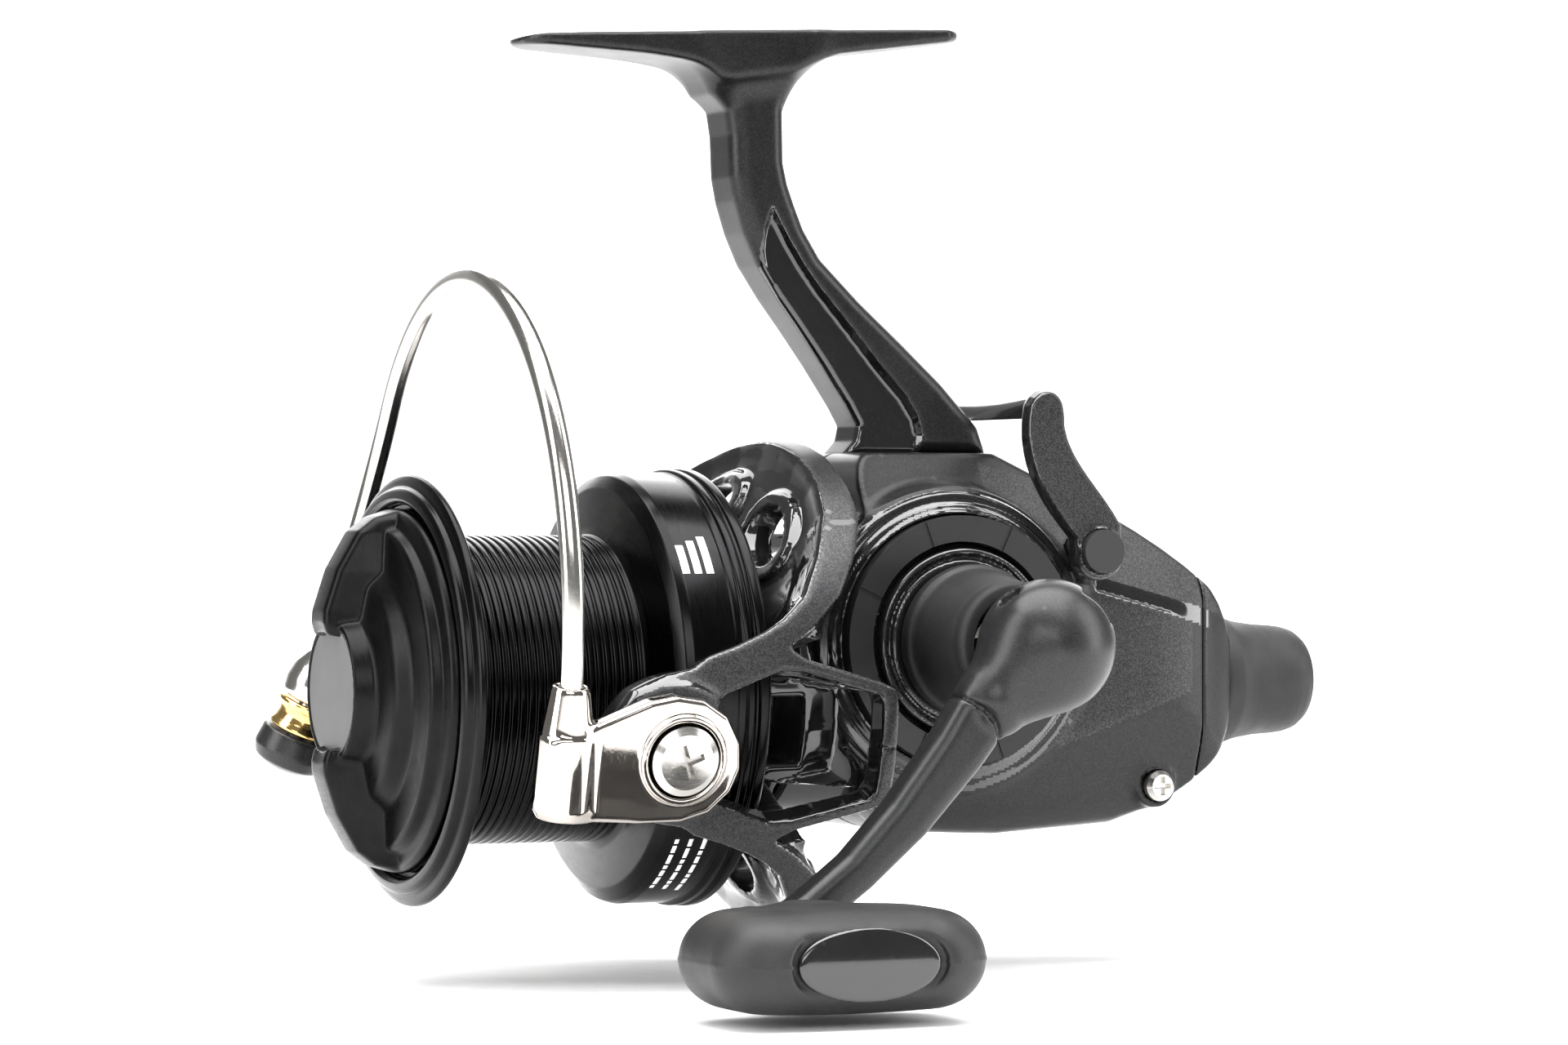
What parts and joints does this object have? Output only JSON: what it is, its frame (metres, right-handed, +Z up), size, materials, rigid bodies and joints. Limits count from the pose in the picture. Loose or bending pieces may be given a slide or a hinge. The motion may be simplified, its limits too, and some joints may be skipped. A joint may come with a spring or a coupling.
{
  "type": "spinning reel",
  "caption": "Spinning fishing reel with a front drag, folding bail, folding crank, reciprocating spool and a rear free-spool lever.",
  "frame": {"origin": "centre of the foot's top face", "axes": "+Z up through the foot, -Y to the front where the spool is, +X to the handle side; the spool axis is parallel to Y"},
  "size_m": [0.1196, 0.1389, 0.1207],
  "materials": {
    "housing_paint": "satin charcoal paint with a fine metallic flake",
    "crank_paint": "satin black paint",
    "rotor_paint": "gloss black with matte metallic outer bands",
    "gloss_trim": "gloss black",
    "spool_anodised": "black anodised, turned",
    "knob_plastic": "satin moulded",
    "disc_grey": "satin grey",
    "soft_rubber": "soft-touch matte",
    "nickel": "black-nickel plated, polished",
    "gold_coating": "gold-coloured hard coating",
    "steel": "machined",
    "gear_metal": "machined gear metal",
    "brass": "machined",
    "drag_felt": "oiled felt"
  },
  "bodies": {
    "root": {"body_frame": "housing_paint", "side_cover": "housing_paint", "rear_cover": "gloss_trim", "cover_screws": "steel", "panel_ring": "housing_paint", "axle_bearing_right": "steel", "axle_bearing_left": "steel", "pinion_bearing": "steel", "pinion_bush": "brass", "clutch_housing": "steel", "guide_rods": "steel", "far_side_cap": "gloss_trim", "tension_sleeve": "gear_metal", "tension_washer": "brass"},
    "handle": {"drive_axle": "steel", "drive_gear": "gear_metal", "oscillation_pinion": "gear_metal", "handle_collar": "soft_rubber", "fold_screw": "steel"},
    "crank": {"crank_arm": "crank_paint", "knob_spindle": "steel"},
    "knob": {"knob_grip": "soft_rubber", "knob_inlay": "gloss_trim"},
    "rotor": {"rotor_frame": "rotor_paint", "pinion": "brass", "clutch_sleeve": "steel", "rotor_nut": "steel", "arm_cover": "gloss_trim", "bail_spring": "steel", "bail_pivot_screws": "steel"},
    "bail": {"bail_holder": "nickel", "roller_arm": "rotor_paint", "bail_wire": "nickel", "roller_screw": "steel"},
    "roller": {"line_roller": "gold_coating", "roller_bearing": "steel"},
    "oscillator": {"oscillation_gear": "gear_metal"},
    "slider": {"slider_block": "brass", "slider_clamp": "steel"},
    "shaft": {"main_shaft": "steel", "spool_seat": "steel", "drag_keyed_washers": "steel"},
    "spool": {"spool_body": "spool_anodised", "spool_lip": "spool_anodised", "click_ring": "gear_metal", "drag_lined_washers": "drag_felt", "drag_retainer": "steel", "line_clip": "steel"},
    "drag_dial": {"drag_knob": "knob_plastic", "drag_knob_disc": "disc_grey", "drag_nut": "steel", "drag_spring": "steel"},
    "ratchet": {"freespool_ratchet": "gear_metal"},
    "lever": {"freespool_lever": "housing_paint", "lever_axle": "housing_paint", "lever_cam": "gear_metal"},
    "tension_dial": {"rear_knob": "soft_rubber"}
  },
  "joints": [
    {"name": "handle_spin", "type": "hinge", "parent": "root", "child": "handle", "pos_m": [0, 0.0225, -0.078], "axis": [1, 0, 0], "continuous": true},
    {"name": "handle_fold", "type": "hinge", "parent": "handle", "child": "crank", "pos_m": [0.044, 0.0225, -0.078], "axis": [0, -0.6717, 0.7408], "range_deg": [0, 90]},
    {"name": "knob_spin", "type": "hinge", "parent": "crank", "child": "knob", "pos_m": [0.06, -0.01661, -0.11347], "axis": [1, 0, 0], "continuous": true},
    {"name": "rotor_spin", "type": "hinge", "parent": "root", "child": "rotor", "pos_m": [0, 0, -0.084], "axis": [0, 1, 0], "continuous": true},
    {"name": "oscillator_spin", "type": "hinge", "parent": "root", "child": "oscillator", "pos_m": [0, 0.04147, -0.087], "axis": [1, 0, 0], "continuous": true},
    {"name": "bail_flip", "type": "hinge", "parent": "rotor", "child": "bail", "pos_m": [0, -0.023, -0.084], "axis": [0.9796, 0, -0.2011], "range_deg": [0, 100]},
    {"name": "roller_spin", "type": "hinge", "parent": "bail", "child": "roller", "pos_m": [-0.03562, -0.046, -0.08843], "axis": [-0.2887, -0.2999, -0.9092], "continuous": true},
    {"name": "spool_stroke", "type": "slide", "parent": "root", "child": "slider", "axis": [0, -1, 0], "range_m": [0, 0.02]},
    {"name": "shaft_spin", "type": "hinge", "parent": "slider", "child": "shaft", "pos_m": [0, 0, -0.084], "axis": [0, 1, 0], "continuous": true},
    {"name": "spool_slip", "type": "hinge", "parent": "shaft", "child": "spool", "pos_m": [0, 0, -0.084], "axis": [0, 1, 0], "continuous": true},
    {"name": "drag_turn", "type": "hinge", "parent": "shaft", "child": "drag_dial", "pos_m": [0, 0, -0.084], "axis": [0, 1, 0], "range_deg": [-540, 180]},
    {"name": "ratchet_spin", "type": "hinge", "parent": "root", "child": "ratchet", "pos_m": [0, 0, -0.084], "axis": [0, 1, 0], "continuous": true},
    {"name": "lever_throw", "type": "hinge", "parent": "root", "child": "lever", "pos_m": [0, 0.042, -0.0667], "axis": [1, 0, 0], "range_deg": [-32, 0]},
    {"name": "tension_turn", "type": "hinge", "parent": "root", "child": "tension_dial", "pos_m": [0, 0, -0.084], "axis": [0, 1, 0], "range_deg": [-360, 360]}
  ],
  "couplings": [
    {"joint": "rotor_spin", "follows": "handle_spin", "ratio": 4.6},
    {"joint": "oscillator_spin", "follows": "handle_spin", "ratio": -0.64706},
    {"joint": "ratchet_spin", "follows": "shaft_spin", "ratio": 1}
  ]
}
